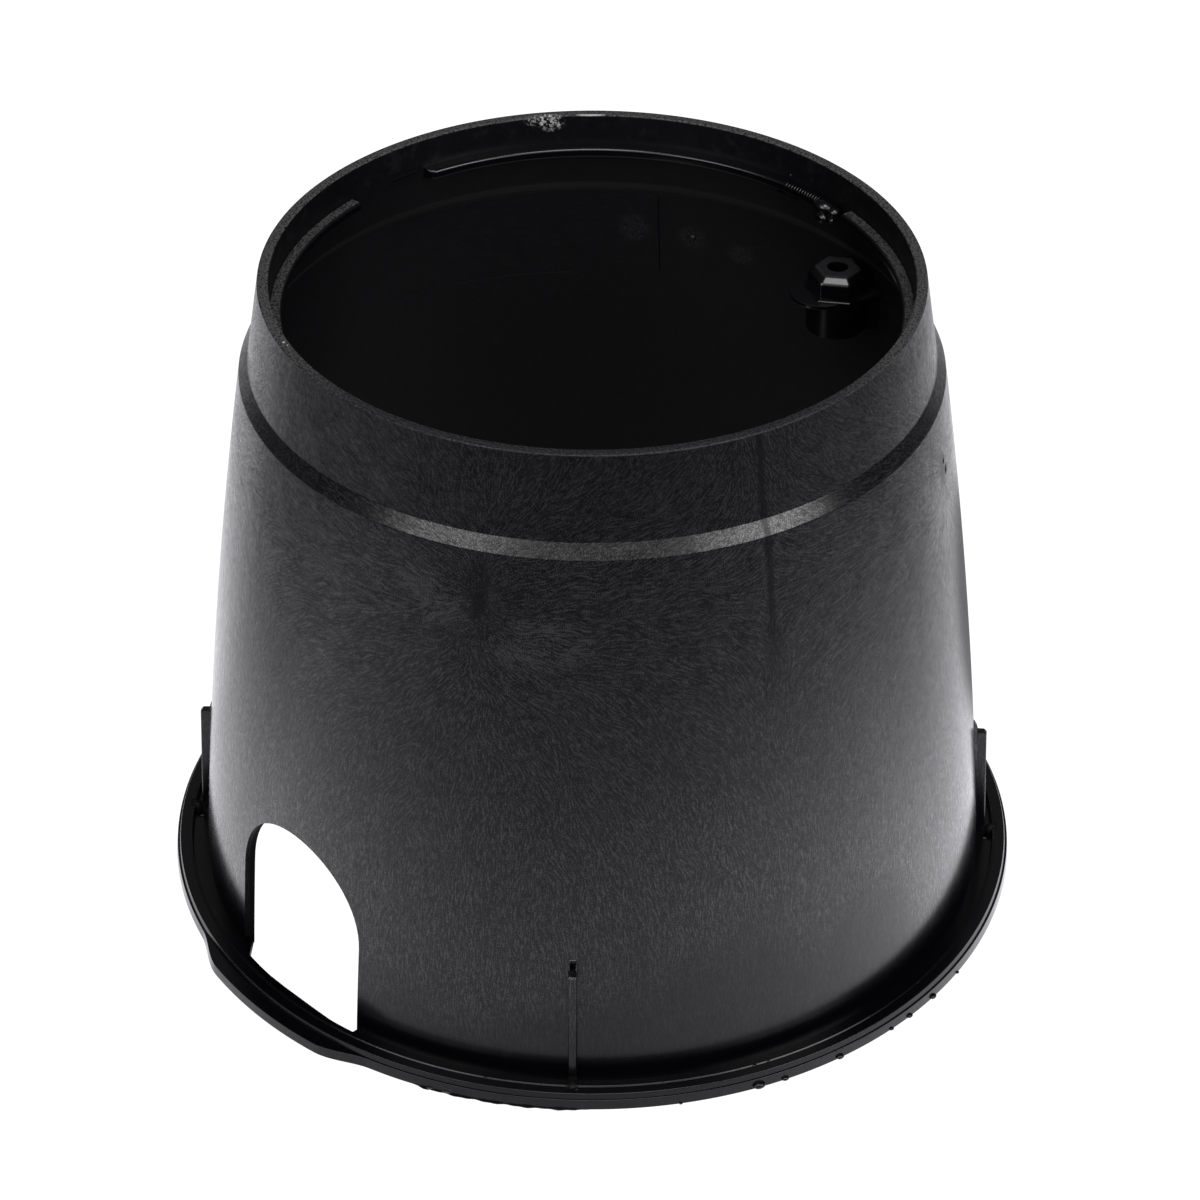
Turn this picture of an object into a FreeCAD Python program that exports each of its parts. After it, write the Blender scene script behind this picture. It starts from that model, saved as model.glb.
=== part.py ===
import FreeCAD, Part
import math
import os
import types

import Sketcher

# Round irrigation valve box body, moulded in one piece: a bowed conical wall, open at both ends, with a
# stepped collar and a lid ledge at the top and a lipped flange at the foot. Two pipe openings stand on the
# Y axis. Millimetres, +Z up, origin at the centre of the underside.

SIZES = [
    ("overall_height", 260.0, "underside of the flange to the rim"),
    ("rim_radius", 122.4, "outside of the rim"),
    ("rim_width", 4.1, "rim, outside to lid recess"),
    ("collar_height", 32.6, "rim down to the outer step"),
    ("collar_flare", 5.1, "growth of the collar's outside radius, rim to step"),
    ("step_height", 5.4, "height of the step's slope"),
    ("step_out", 3.5, "how far the step stands out"),
    ("wall_flare", 23.3, "growth of the wall's outside radius, step to foot"),
    ("wall_bow", 2.4, "how far the wall swells beyond a straight cone"),
    ("wall_thickness", 4.5, "wall, measured level"),
    ("recess_depth", 12.5, "rim down to the lid ledge"),
    ("ledge_width", 4.6, "how far the lid ledge stands in"),
    ("ledge_thickness", 4.0, "height of the lid ledge"),
    ("core_step", 0.6, "wall set back under the ledge, where the cores met"),
    ("ledge_gap_angle", 17.5, "gap in the ledge at each side, degrees"),
    ("flange_width", 12.7, "wall foot to the flange's edge"),
    ("flange_plate", 3.2, "thickness of the flange inside its lip"),
    ("lip_rise", 3.1, "lip above the flange plate"),
    ("lip_width", 4.9, "width of the lip's top"),
    ("lip_draft", 0.4, "lean of the lip's faces"),
    ("parting_height", 4.2, "height of the mould parting round the flange"),
    ("parting_step", 0.8, "offset between the two mould halves"),
    ("edge_draft", 0.5, "lean of the flange's edge below the parting"),
    ("opening_width", 66.0, "pipe opening"),
    ("opening_height", 74.6, "underside to the top of the pipe opening's arch"),
    ("sill_offset", 1.9, "wall foot to the flange strip that closes the opening below"),
    ("bulge_out", 4.4, "extra flange width in front of a pipe opening"),
    ("bulge_angle", 27.0, "angle that the extra width keeps its full reach, degrees"),
    ("bulge_run_angle", 3.0, "angle in which each end runs out, degrees"),
    ("bulge_rounding", 10.0, "rounding of the extra width's corners"),
    ("rib_count", 4, "foot ribs"),
    ("rib_angle", 45.0, "first rib, degrees from +X"),
    ("rib_thickness", 3.4, "foot rib"),
    ("rib_height", 54.0, "underside to the rib's outer top corner"),
    ("rib_slope", 0.6, "rise of the rib's top towards the wall"),
    ("rib_top_reach", 5.0, "rib beyond the wall at its top"),
    ("rib_foot_reach", 3.4, "rib beyond the wall at its foot"),
    ("boss_angle", 81.9, "bolt boss, degrees from +X"),
    ("boss_drop", 36.2, "rim down to the boss's top"),
    ("bolt_hole_radius", 4.15, "hole for the lid bolt"),
    ("bolt_clearance", 0.15, "bolt path to the lid recess wall"),
    ("notch_clearance", 0.7, "bolt path to each side of the ledge notch"),
    ("hex_flats", 20.4, "hexagon across flats"),
    ("hex_turn", 13.2, "hexagon turned clockwise from the radius, degrees"),
    ("crown_flats", 15.0, "hexagon's top across flats"),
    ("hex_height", 10.3, "hexagon with its sloped crown"),
    ("crown_height", 2.9, "sloped crown"),
    ("shelf_thickness", 1.8, "shelf under the hexagon"),
    ("shelf_half_width", 10.8, "shelf's bridge to the wall, each side of the boss"),
    ("lobe_radius", 12.4, "rounded end of the shelf"),
    ("lobe_inset", 6.3, "rounded end's centre, inwards from the bolt"),
    ("lobe_shift", 3.6, "rounded end's centre, sideways from the bolt"),
    ("skirt_radius", 11.6, "round post under the shelf"),
    ("skirt_height", 15.5, "post below the shelf's top"),
    ("web_angle", 33.5, "web from post to wall, degrees off the radius"),
    ("web_thickness", 3.2, "web"),
    ("web_offset", 2.4, "web's middle beside the bolt"),
    ("rim_rounding", 0.8, "edges of the rim"),
    ("step_rounding", 1.0, "corner between collar and step"),
    ("shoulder_rounding", 2.0, "corner between step and wall"),
    ("ledge_rounding", 1.2, "inner edges of the ledge"),
    ("foot_rounding", 0.7, "corner between wall and flange"),
    ("lip_rounding", 0.5, "edges of the lip"),
]


class Size:
    """A dimension: its number, to draw with, and its spreadsheet formula, to bind with."""

    def __init__(self, number, formula):
        self.number = number
        self.formula = formula

    @staticmethod
    def of(value):
        return value if isinstance(value, Size) else Size(value, repr(value))

    def __add__(self, other):
        other = Size.of(other)
        return Size(self.number + other.number, f"({self.formula} + {other.formula})")

    def __sub__(self, other):
        other = Size.of(other)
        return Size(self.number - other.number, f"({self.formula} - {other.formula})")

    def __mul__(self, other):
        other = Size.of(other)
        return Size(self.number * other.number, f"({self.formula} * {other.formula})")

    def __truediv__(self, other):
        other = Size.of(other)
        return Size(self.number / other.number, f"({self.formula} / {other.formula})")

    def __neg__(self):
        return Size(-self.number, f"(-{self.formula})")


def root(size):
    return Size(math.sqrt(size.number), f"sqrt({size.formula})")


def sine(degrees):
    return Size(math.sin(math.radians(degrees.number)), f"sin({degrees.formula} * 1 deg)")


def cosine(degrees):
    return Size(math.cos(math.radians(degrees.number)), f"cos({degrees.formula} * 1 deg)")


ZERO = Size(0.0, "0")
HALF_TURN = Size(180.0, "180")
RADIAN = Size(math.degrees(1.0), "(180 / pi)")
LEAST_CHANGE = 1.0  # mm3
SAME_PLACE = 0.001  # mm

doc = FreeCAD.newDocument("valve_box")
sheet = doc.addObject("Spreadsheet::Sheet", "sizes")
for row, (name, value, meaning) in enumerate(SIZES, start=1):
    sheet.set(f"A{row}", name)
    sheet.set(f"B{row}", str(value))
    sheet.setAlias(f"B{row}", name)
    sheet.set(f"C{row}", meaning)
doc.recompute()
d = types.SimpleNamespace(**{name: Size(float(value), f"sizes.{name}") for name, value, _ in SIZES})

# Heights
ledge_top = d.overall_height - d.recess_depth
ledge_bottom = ledge_top - d.ledge_thickness
collar_foot = d.overall_height - d.collar_height
shoulder = collar_foot - d.step_height
wall_foot = d.flange_plate + d.foot_rounding
lip_top = d.flange_plate + d.lip_rise
boss_top = d.overall_height - d.boss_drop
shelf_top = boss_top - d.hex_height
skirt_bottom = shelf_top - d.skirt_height

# Radii about the box's axis
recess_radius = d.rim_radius - d.rim_width
ledge_radius = recess_radius - d.ledge_width
under_ledge_radius = recess_radius + d.core_step
collar_radius = d.rim_radius + d.collar_flare
shoulder_radius = collar_radius + d.step_out
foot_radius = shoulder_radius + d.wall_flare
flange_radius = foot_radius + d.flange_width
parting_radius = flange_radius - d.edge_draft
lip_foot_radius = parting_radius - d.parting_step
lip_radius = lip_foot_radius - d.lip_draft
lip_inner_radius = lip_radius - d.lip_width
sill_radius = foot_radius + d.sill_offset
bulge_radius = flange_radius + d.bulge_out
bolt_distance = recess_radius - d.bolt_hole_radius - d.bolt_clearance


def wall_radius(height):
    """Outside radius of the bowed wall: its cone plus a parabola that peaks at mid-height."""
    share = (shoulder - height) / (shoulder - wall_foot)
    return shoulder_radius + d.wall_flare * share + d.wall_bow * share * (Size.of(1) - share) * 4


def bow_radius(rise, run):
    """Radius of the arc over a chord that rises and runs so far and swells by the wall's bow."""
    return (rise * rise + run * run) / (d.wall_bow * 8) + d.wall_bow / 2


def new_sketch(body, name, plane, lift=ZERO, turn=ZERO):
    """A sketch on one of the body's planes, lifted off it, or turned about the box's axis."""
    sketch = body.newObject("Sketcher::SketchObject", name)
    sketch.AttachmentSupport = [(next(f for f in body.Origin.OriginFeatures if f.Role == plane), "")]
    sketch.MapMode = "FlatFace"
    upright = FreeCAD.Vector(0, 0, 1) if plane == "XY_Plane" else FreeCAD.Vector(0, 1, 0)
    turned = FreeCAD.Rotation(upright, turn.number)
    sketch.AttachmentOffset = FreeCAD.Placement(FreeCAD.Vector(0, 0, lift.number), turned)
    if lift is not ZERO:
        sketch.setExpression("AttachmentOffset.Base.z", lift.formula)
    if turn is not ZERO:
        sketch.setExpression("AttachmentOffset.Rotation.Angle", turn.formula)
    return sketch


def bind(sketch, kind, *where, size):
    """Add one driving constraint and tie it to the sheet."""
    index = sketch.addConstraint(Sketcher.Constraint(kind, *where, size.number))
    sketch.setExpression(f"Constraints[{index}]", size.formula)


def place(sketch, edge, end, x, y):
    """Tie one end of an edge to a place measured from the sketch's origin."""
    for kind, size, axis in (("DistanceX", x, -2), ("DistanceY", y, -1)):
        if size is ZERO:
            sketch.addConstraint(Sketcher.Constraint("PointOnObject", edge, end, axis))
        else:
            bind(sketch, kind, -1, 1, edge, end, size=size)


def arc_between(start, end, radius, side):
    """Arc from start to end with its centre to the left (side 1) or the right (side -1) of the chord."""
    chord = end - start
    reach = math.sqrt(max(radius * radius - chord.Length ** 2 / 4, 0))
    left = FreeCAD.Vector(-chord.y, chord.x, 0).normalize()
    centre = (start + end) * 0.5 + left * (side * reach)
    first, last = (start, end) if side > 0 else (end, start)
    circle = Part.Circle(centre, FreeCAD.Vector(0, 0, 1), radius)
    return Part.ArcOfCircle(circle, math.atan2(*(first - centre)[1::-1]), math.atan2(*(last - centre)[1::-1]))


def draw_outline(sketch, corners, arcs=None):
    """Closed outline through the corners, with straight edges apart from arcs {edge: (radius, side)}."""
    arcs = arcs or {}
    points = [FreeCAD.Vector(x.number, y.number, 0) for x, y in corners]
    ends = []
    for i, start in enumerate(points):
        end = points[(i + 1) % len(points)]
        if i in arcs:
            radius, side = arcs[i]
            edge = sketch.addGeometry(arc_between(start, end, radius.number, side))
            ends.append((edge, 1, 2) if side > 0 else (edge, 2, 1))
        else:
            edge = sketch.addGeometry(Part.LineSegment(start, end))
            ends.append((edge, 1, 2))
    for (edge, _, last), (following, first, _) in zip(ends, ends[1:] + ends[:1]):
        sketch.addConstraint(Sketcher.Constraint("Coincident", edge, last, following, first))
    for (edge, first, _), (x, y) in zip(ends, corners):
        place(sketch, edge, first, x, y)
    for i, (radius, _) in arcs.items():
        bind(sketch, "Radius", ends[i][0], size=radius)
    return sketch


def draw_circle(sketch, x, y, radius):
    """Circle of a given radius about a bound centre."""
    centre = FreeCAD.Vector(x.number, y.number, 0)
    edge = sketch.addGeometry(Part.Circle(centre, FreeCAD.Vector(0, 0, 1), radius.number))
    place(sketch, edge, 3, x, y)
    bind(sketch, "Radius", edge, size=radius)
    return sketch


def draw_hexagon(sketch, x, flats, turned):
    """Hexagon about (x, 0), turned clockwise by an angle from where a flat faces +X."""
    reach = flats / root(Size.of(3))
    ends = []
    for first_angle in (30.0, 90.0, 150.0, 210.0, 270.0, 330.0):
        angle = Size.of(first_angle) - turned
        ends.append((x + reach * cosine(angle), reach * sine(angle)))
    return draw_outline(sketch, ends)


def extrude(body, kind, name, sketch, length, symmetric=False):
    """Pad or Pocket of a sketch, by a bound length, to one side or half to each."""
    feature = body.newObject(f"PartDesign::{kind}", name)
    feature.Profile = sketch
    feature.SideType = "Symmetric" if symmetric else "One side"
    feature.Length = length.number
    feature.setExpression("Length", length.formula)
    return settle(feature)


def turn(body, kind, name, sketch, angle=None):
    """Revolution or Groove about the box's axis, all round or by a bound angle about the sketch's plane."""
    feature = body.newObject(f"PartDesign::{kind}", name)
    feature.Profile = sketch
    feature.ReferenceAxis = (sketch, ["V_Axis"])
    if angle is None:
        feature.Angle = 360
    else:
        feature.Midplane = True
        feature.setExpression("Angle", angle.formula)
    return settle(feature)


def repeat(body, name, feature, count):
    """Copies of a feature, evenly spaced about the box's axis."""
    pattern = body.newObject("PartDesign::PolarPattern", name)
    pattern.Originals = [feature]
    axis = next(f for f in body.Origin.OriginFeatures if f.Role == "Z_Axis")
    pattern.Axis = (axis, [""])
    pattern.Angle = 360
    pattern.setExpression("Occurrences", count.formula)
    body.Tip = pattern
    return settle(pattern)


def round_edges(body, name, base, rings, radius):
    """Fillet the full circles of base that lie at the given (radius, height) pairs."""
    found = []
    for number, edge in enumerate(base.Shape.Edges, start=1):
        if not isinstance(edge.Curve, Part.Circle):
            continue
        for ring_radius, height in rings:
            at = abs(edge.Curve.Radius - ring_radius.number) + abs(edge.Curve.Center.z - height.number)
            if at < SAME_PLACE:
                found.append(f"Edge{number}")
    if len(found) != len(rings):
        raise RuntimeError(f"{name}: {len(found)} of {len(rings)} edges found")
    return fillet_edges(body, name, base, found, radius)


def fillet_edges(body, name, base, edges, radius):
    """Round the named edges of base."""
    fillet = body.newObject("PartDesign::Fillet", name)
    fillet.Base = (base, edges)
    fillet.Radius = radius.number
    fillet.setExpression("Radius", radius.formula)
    return settle(fillet)


def settle(feature):
    """Recompute; stop unless the feature left one solid and changed it: a cut smaller, an addition larger."""
    doc.recompute()
    if "Invalid" in feature.State or feature.Shape.isNull() or not feature.Shape.isValid():
        raise RuntimeError(f"{feature.Name} failed: {feature.State}")
    if len(feature.Shape.Solids) != 1:
        raise RuntimeError(f"{feature.Name} left {len(feature.Shape.Solids)} solids")
    if feature.BaseFeature is None or feature.TypeId == "PartDesign::Fillet":
        return feature
    growth = feature.Shape.Volume - feature.BaseFeature.Shape.Volume
    cuts = feature.TypeId in ("PartDesign::Pocket", "PartDesign::Groove")
    if (-growth if cuts else growth) < LEAST_CHANGE:
        raise RuntimeError(f"{feature.Name} changed the volume by {growth:.2f}")
    return feature


def mould_wall(body):
    """The section turned about the axis: rim, collar, step, bowed wall, lipped flange and lid ledge."""
    outer_bow = bow_radius(shoulder - wall_foot, d.wall_flare)
    inner_bow = bow_radius(shoulder, d.wall_flare)
    inner = d.wall_thickness
    corners = [
        (d.rim_radius, d.overall_height),
        (collar_radius, collar_foot),
        (shoulder_radius, shoulder),
        (foot_radius, wall_foot),
        (foot_radius + d.foot_rounding, d.flange_plate),
        (lip_inner_radius - d.lip_draft, d.flange_plate),
        (lip_inner_radius, lip_top),
        (lip_radius, lip_top),
        (lip_foot_radius, d.parting_height),
        (parting_radius, d.parting_height),
        (flange_radius, ZERO),
        (foot_radius - inner, ZERO),
        (shoulder_radius - inner, shoulder),
        (collar_radius - inner, collar_foot),
        (under_ledge_radius, ledge_bottom),
        (ledge_radius, ledge_bottom),
        (ledge_radius, ledge_top),
        (recess_radius, ledge_top),
        (recess_radius, d.overall_height),
    ]
    section = new_sketch(body, "wall_section", "XZ_Plane")
    draw_outline(section, corners, {2: (outer_bow, -1), 3: (d.foot_rounding, 1), 11: (inner_bow, 1)})
    wall = turn(body, "Revolution", "moulded_wall", section)
    rim = [(d.rim_radius, d.overall_height), (recess_radius, d.overall_height)]
    step = [(collar_radius, collar_foot), (collar_radius - inner, collar_foot)]
    shoulders = [(shoulder_radius, shoulder), (shoulder_radius - inner, shoulder)]
    ledge = [(ledge_radius, ledge_top), (ledge_radius, ledge_bottom)]
    lip = [(lip_inner_radius, lip_top), (lip_radius, lip_top)]
    wall = round_edges(body, "rim_edges", wall, rim, d.rim_rounding)
    wall = round_edges(body, "step_corners", wall, step, d.step_rounding)
    wall = round_edges(body, "shoulder_corners", wall, shoulders, d.shoulder_rounding)
    wall = round_edges(body, "ledge_edges", wall, ledge, d.ledge_rounding)
    round_edges(body, "lip_edges", wall, lip, d.lip_rounding)


def cut_ledge(body, name, middle, angle):
    """Take the lid ledge away over an angle about its middle, back to the wall below it."""
    past = ledge_radius - d.ledge_width
    section = new_sketch(body, f"{name}_section", "XZ_Plane", turn=middle)
    corners = [
        (past, ledge_bottom),
        (under_ledge_radius, ledge_bottom),
        (under_ledge_radius, ledge_top),
        (past, ledge_top),
    ]
    draw_outline(section, corners)
    turn(body, "Groove", name, section, angle)


def cut_pipe_openings(body):
    """Arched openings at both ends of the Y axis, cut down past the flange but short of its lip."""
    half = d.opening_width / 2
    arch = d.opening_height - half
    outline = new_sketch(body, "opening_outline", "XZ_Plane")
    corners = [
        (-half, d.flange_plate),
        (half, d.flange_plate),
        (half, arch),
        (ZERO, d.opening_height),
        (-half, arch),
    ]
    draw_outline(outline, corners, {2: (half, 1), 3: (half, 1)})
    extrude(body, "Pocket", "pipe_openings", outline, sill_radius * 2, symmetric=True)
    inside = foot_radius - d.wall_thickness * 3
    outside = root(sill_radius * sill_radius - half * half)
    for end, facing in (("back", ZERO), ("front", HALF_TURN)):
        floor = new_sketch(body, f"{end}_sill_outline", "XY_Plane", d.flange_plate, facing)
        corners = [(half, inside), (half, outside), (-half, outside), (-half, inside)]
        draw_outline(floor, corners, {1: (sill_radius, 1)})
        extrude(body, "Pocket", f"{end}_sill", floor, d.flange_plate)


def widen_flange(body):
    """Flange grown outwards below the parting, in front of each pipe opening; its ends run out in an S."""
    full = d.bulge_angle / 2
    ends = full + d.bulge_run_angle
    buried = lip_radius - d.lip_width / 2
    across, along = bulge_radius * sine(full), bulge_radius * cosine(full)
    across_end, along_end = buried * sine(ends), buried * cosine(ends)
    corners = [(across, along), (-across, along), (-across_end, along_end), (across_end, along_end)]
    for end, facing in (("back", ZERO), ("front", HALF_TURN)):
        outline = new_sketch(body, f"{end}_bulge_outline", "XY_Plane", turn=facing)
        draw_outline(outline, corners, {0: (bulge_radius, 1), 2: (buried, -1)})
        bulge = extrude(body, "Pad", f"{end}_bulge", outline, d.parting_height)
    upright = []
    for number, edge in enumerate(bulge.Shape.Edges, start=1):
        heights = sorted(vertex.Z for vertex in edge.Vertexes)
        inmost = min(math.hypot(vertex.X, vertex.Y) for vertex in edge.Vertexes)
        spans = len(heights) == 2 and abs(heights[1] - heights[0] - d.parting_height.number) < SAME_PLACE
        if spans and abs(inmost - bulge_radius.number) < SAME_PLACE:
            upright.append(f"Edge{number}")
    fillet_edges(body, "bulge_ends", bulge, upright, d.bulge_rounding)


def add_ribs(body):
    """Upright ribs between the wall's foot and the flange, evenly spaced round the box."""
    buried = d.wall_thickness / 2
    crest = d.rib_height + d.rib_slope
    foot = d.flange_plate / 2
    outline = new_sketch(body, "rib_outline", "XZ_Plane", turn=d.rib_angle)
    corners = [
        (foot_radius - buried, foot),
        (foot_radius + d.rib_foot_reach, foot),
        (wall_radius(d.rib_height) + d.rib_top_reach, d.rib_height),
        (wall_radius(crest) - buried, crest),
    ]
    draw_outline(outline, corners)
    rib = extrude(body, "Pad", "foot_rib", outline, d.rib_thickness, symmetric=True)
    repeat(body, "foot_ribs", rib, d.rib_count)


def add_boss(body):
    """Bolt boss inside the wall: a hexagon with a sloped crown on a shelf, a round post below and a web."""

    def level(name, height):
        return new_sketch(body, name, "XY_Plane", height, d.boss_angle)

    buried = wall_radius(shelf_top - d.skirt_height / 2) - d.wall_thickness / 2
    shelf_bottom = shelf_top - d.shelf_thickness
    prism_height = d.hex_height - d.crown_height
    side = d.shelf_half_width
    shore = root(buried * buried - side * side)
    corners = [(bolt_distance, -side), (shore, -side), (shore, side), (bolt_distance, side)]
    bridge = draw_outline(level("bridge_outline", shelf_bottom), corners, {1: (buried, 1)})
    extrude(body, "Pad", "shelf_bridge", bridge, d.shelf_thickness)
    lobe = level("lobe_outline", shelf_bottom)
    draw_circle(lobe, bolt_distance - d.lobe_inset, d.lobe_shift, d.lobe_radius)
    extrude(body, "Pad", "shelf_lobe", lobe, d.shelf_thickness)
    post = draw_circle(level("post_outline", skirt_bottom), bolt_distance, ZERO, d.skirt_radius)
    extrude(body, "Pad", "boss_post", post, d.skirt_height)
    web = draw_outline(level("web_outline", skirt_bottom), web_corners(buried))
    extrude(body, "Pad", "boss_web", web, d.skirt_height)
    prism = draw_hexagon(level("hex_outline", shelf_top), bolt_distance, d.hex_flats, d.hex_turn)
    extrude(body, "Pad", "boss_hexagon", prism, prism_height)
    crown = body.newObject("PartDesign::AdditiveLoft", "boss_crown")
    crown_foot = level("crown_foot", shelf_top + prism_height)
    crown.Profile = draw_hexagon(crown_foot, bolt_distance, d.hex_flats, d.hex_turn)
    crown.Sections = [draw_hexagon(level("crown_top", boss_top), bolt_distance, d.crown_flats, d.hex_turn)]
    crown.Ruled = True
    settle(crown)
    hole = draw_circle(level("bolt_hole_outline", boss_top), bolt_distance, ZERO, d.bolt_hole_radius)
    extrude(body, "Pocket", "bolt_hole", hole, d.hex_height + d.skirt_height)


def web_corners(buried):
    """Plan of the web: from beside the bolt it runs aslant to the buried radius inside the wall."""
    along_x, along_y = cosine(d.web_angle), -sine(d.web_angle)
    corners = []
    for offset in (d.web_offset + d.web_thickness / 2, d.web_offset - d.web_thickness / 2):
        start_x = bolt_distance + along_y * offset
        start_y = -along_x * offset
        forward = start_x * along_x + start_y * along_y
        square = start_x * start_x + start_y * start_y
        length = root(forward * forward - square + buried * buried) - forward
        corners.append([(start_x, start_y), (start_x + along_x * length, start_y + along_y * length)])
    (near, near_end), (far, far_end) = corners
    return [near, near_end, far_end, far]


def build_box():
    body = doc.addObject("PartDesign::Body", "valve_box_body")
    body.Label = "valve_box_body"
    mould_wall(body)
    notch_angle = (d.bolt_hole_radius + d.notch_clearance) / bolt_distance * RADIAN * 2
    cut_ledge(body, "ledge_gap_right", ZERO, d.ledge_gap_angle)
    cut_ledge(body, "ledge_gap_left", HALF_TURN, d.ledge_gap_angle)
    cut_ledge(body, "bolt_notch", d.boss_angle, notch_angle)
    widen_flange(body)
    cut_pipe_openings(body)
    add_boss(body)
    add_ribs(body)
    return body


parts = [build_box()]
doc.recompute()
faulty = [o.Name for o in doc.Objects if "Invalid" in o.State or "Error" in o.State]
if faulty:
    raise RuntimeError(f"failed objects: {faulty}")
os.makedirs("parts", exist_ok=True)
for part in parts:
    if part.Shape.isNull() or not part.Shape.isValid():
        raise RuntimeError(f"{part.Label} has no valid shape")
    part.Shape.exportStep(f"parts/{part.Label}.step")
    print(part.Label, "solids", len(part.Shape.Solids), "volume", round(part.Shape.Volume), "mm3")
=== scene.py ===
import math
from types import SimpleNamespace

import bmesh
import bpy
import numpy as np
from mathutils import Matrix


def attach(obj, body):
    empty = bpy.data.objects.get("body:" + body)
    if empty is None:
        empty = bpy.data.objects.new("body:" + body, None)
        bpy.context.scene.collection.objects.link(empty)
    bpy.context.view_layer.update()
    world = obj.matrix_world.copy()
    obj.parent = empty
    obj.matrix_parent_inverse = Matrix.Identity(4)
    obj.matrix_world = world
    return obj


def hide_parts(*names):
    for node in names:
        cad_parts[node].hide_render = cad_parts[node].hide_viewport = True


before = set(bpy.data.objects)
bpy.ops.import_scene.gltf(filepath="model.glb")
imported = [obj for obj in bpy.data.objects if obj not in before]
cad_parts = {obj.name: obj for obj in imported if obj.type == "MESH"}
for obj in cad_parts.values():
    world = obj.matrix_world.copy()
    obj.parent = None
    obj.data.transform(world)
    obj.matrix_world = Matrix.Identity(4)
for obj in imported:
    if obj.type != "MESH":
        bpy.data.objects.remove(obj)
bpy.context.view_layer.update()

MM = 0.001
QUARTER = math.pi / 2

# Lengths in millimetres, angles in degrees from +X
HEIGHT = 260.0
SHOULDER, SHOULDER_RADIUS = 222.0, 131.0
WALL_FOOT, WALL_SPREAD, WALL_BOW = 3.9, 23.3, 2.4
WALL_THICKNESS, HALF_WALL = 4.5, 2.3
PLATE = 3.2
BULGE_REACH, BULGE_FULL, BULGE_GONE = 4.4, 10.0, 17.8
LEDGE_UNDER, LEDGE_TOP = 243.5, 247.5
RIB_ANGLES, RIB_TOP = (45.0, 135.0, 225.0, 315.0), 54.0
OPENING_HALF, OPENING_SHIFT, OPENING_TOP, SILL_RADIUS = 34.3, 0.8, 75.4, 156.2
BOSS_ANGLE, BOLT_DISTANCE = 81.9, 114.0
GATE_ANGLE, GATE_HEIGHT = -59.5, 202.0
VIEW_TURN = 47.7


def wall_radius(height):
    """Outside radius of the bowed wall: a cone plus a parabola that peaks at mid-height."""
    share = (SHOULDER - height) / (SHOULDER - WALL_FOOT)
    return SHOULDER_RADIUS + WALL_SPREAD * share + WALL_BOW * 4.0 * share * (1.0 - share)


def inner_radius(height):
    """Inside radius of the same wall, with its bow taken from the underside to the shoulder."""
    share = (SHOULDER - height) / SHOULDER
    at_shoulder = SHOULDER_RADIUS - WALL_THICKNESS
    return at_shoulder + WALL_SPREAD * share + WALL_BOW * 4.0 * share * (1.0 - share)


def corner(before, at, after, rounding, steps=5):
    """Arc in place of an outline's corner.

    It touches both sides at rounding / tan(half the corner's angle) from the corner.
    """
    before, at, after = (np.asarray(p, float) for p in (before, at, after))
    back = (before - at) / np.linalg.norm(before - at)
    ahead = (after - at) / np.linalg.norm(after - at)
    half = math.acos(np.clip(back @ ahead, -1, 1)) / 2
    middle = (back + ahead) / np.linalg.norm(back + ahead)
    centre = at + middle * rounding / math.sin(half)
    first = at + back * rounding / math.tan(half) - centre
    last = at + ahead * rounding / math.tan(half) - centre
    start = math.atan2(first[1], first[0])
    sweep = (math.atan2(last[1], last[0]) - start + math.pi) % (2 * math.pi) - math.pi
    turn = start + sweep * np.linspace(0, 1, steps + 1)
    return centre + rounding * np.stack([np.cos(turn), np.sin(turn)], axis=1)


def outline(corners, steps=5):
    """Closed outline of (x, y, rounding) corners."""
    corners = [np.asarray(c, float) for c in corners]
    arcs = []
    for before, at, after in zip(corners[-1:] + corners[:-1], corners, corners[1:] + corners[:1]):
        if at[2] > 0:
            arcs.append(corner(before[:2], at[:2], after[:2], at[2], steps))
        else:
            arcs.append(at[None, :2])
    return np.concatenate(arcs)


def polar(radius, angle, height):
    """Points (r cos a, r sin a, z)."""
    radius, angle, height = np.broadcast_arrays(radius, angle, height)
    return np.stack([radius * np.cos(angle), radius * np.sin(angle), height], axis=-1)


def beside(forward, sideways, height, angle):
    """Points given along and across the radius at an angle: the pair turned by that angle."""
    turn = math.radians(angle)
    forward, sideways, height = np.broadcast_arrays(forward, sideways, height)
    x = forward * math.cos(turn) - sideways * math.sin(turn)
    y = forward * math.sin(turn) + sideways * math.cos(turn)
    return np.stack([x, y, height], axis=-1)


def surface(name, points, ring=False):
    """Closed mesh of a grid of points whose rows are closed loops.

    The rows join in a ring, or the first and the last one end in flat caps.
    """
    rows, columns = points.shape[:2]
    index = np.arange(rows * columns).reshape(rows, columns)
    beyond = np.roll(index, -1, axis=0) if ring else index[1:]
    here = index if ring else index[:-1]
    quads = np.stack([here, np.roll(here, -1, 1), np.roll(beyond, -1, 1), beyond], axis=-1)
    faces = quads.reshape(-1, 4).tolist()
    if not ring:
        faces += [index[0].tolist(), index[-1].tolist()]
    mesh = bpy.data.meshes.new(name)
    mesh.from_pydata((points.reshape(-1, 3) * MM).tolist(), [], faces)
    made = bmesh.new()
    made.from_mesh(mesh)
    bmesh.ops.recalc_face_normals(made, faces=made.faces)
    made.to_mesh(mesh)
    made.free()
    piece = bpy.data.objects.new(name, mesh)
    bpy.context.scene.collection.objects.link(piece)
    return piece


def bevelled(piece, width, segments=3, angle=35):
    """Round the sharp edges of a piece with a bevel."""
    bevel = piece.modifiers.new("edges", "BEVEL")
    bevel.width = width * MM
    bevel.segments = segments
    bevel.limit_method = "ANGLE"
    bevel.angle_limit = math.radians(angle)
    return piece


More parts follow.
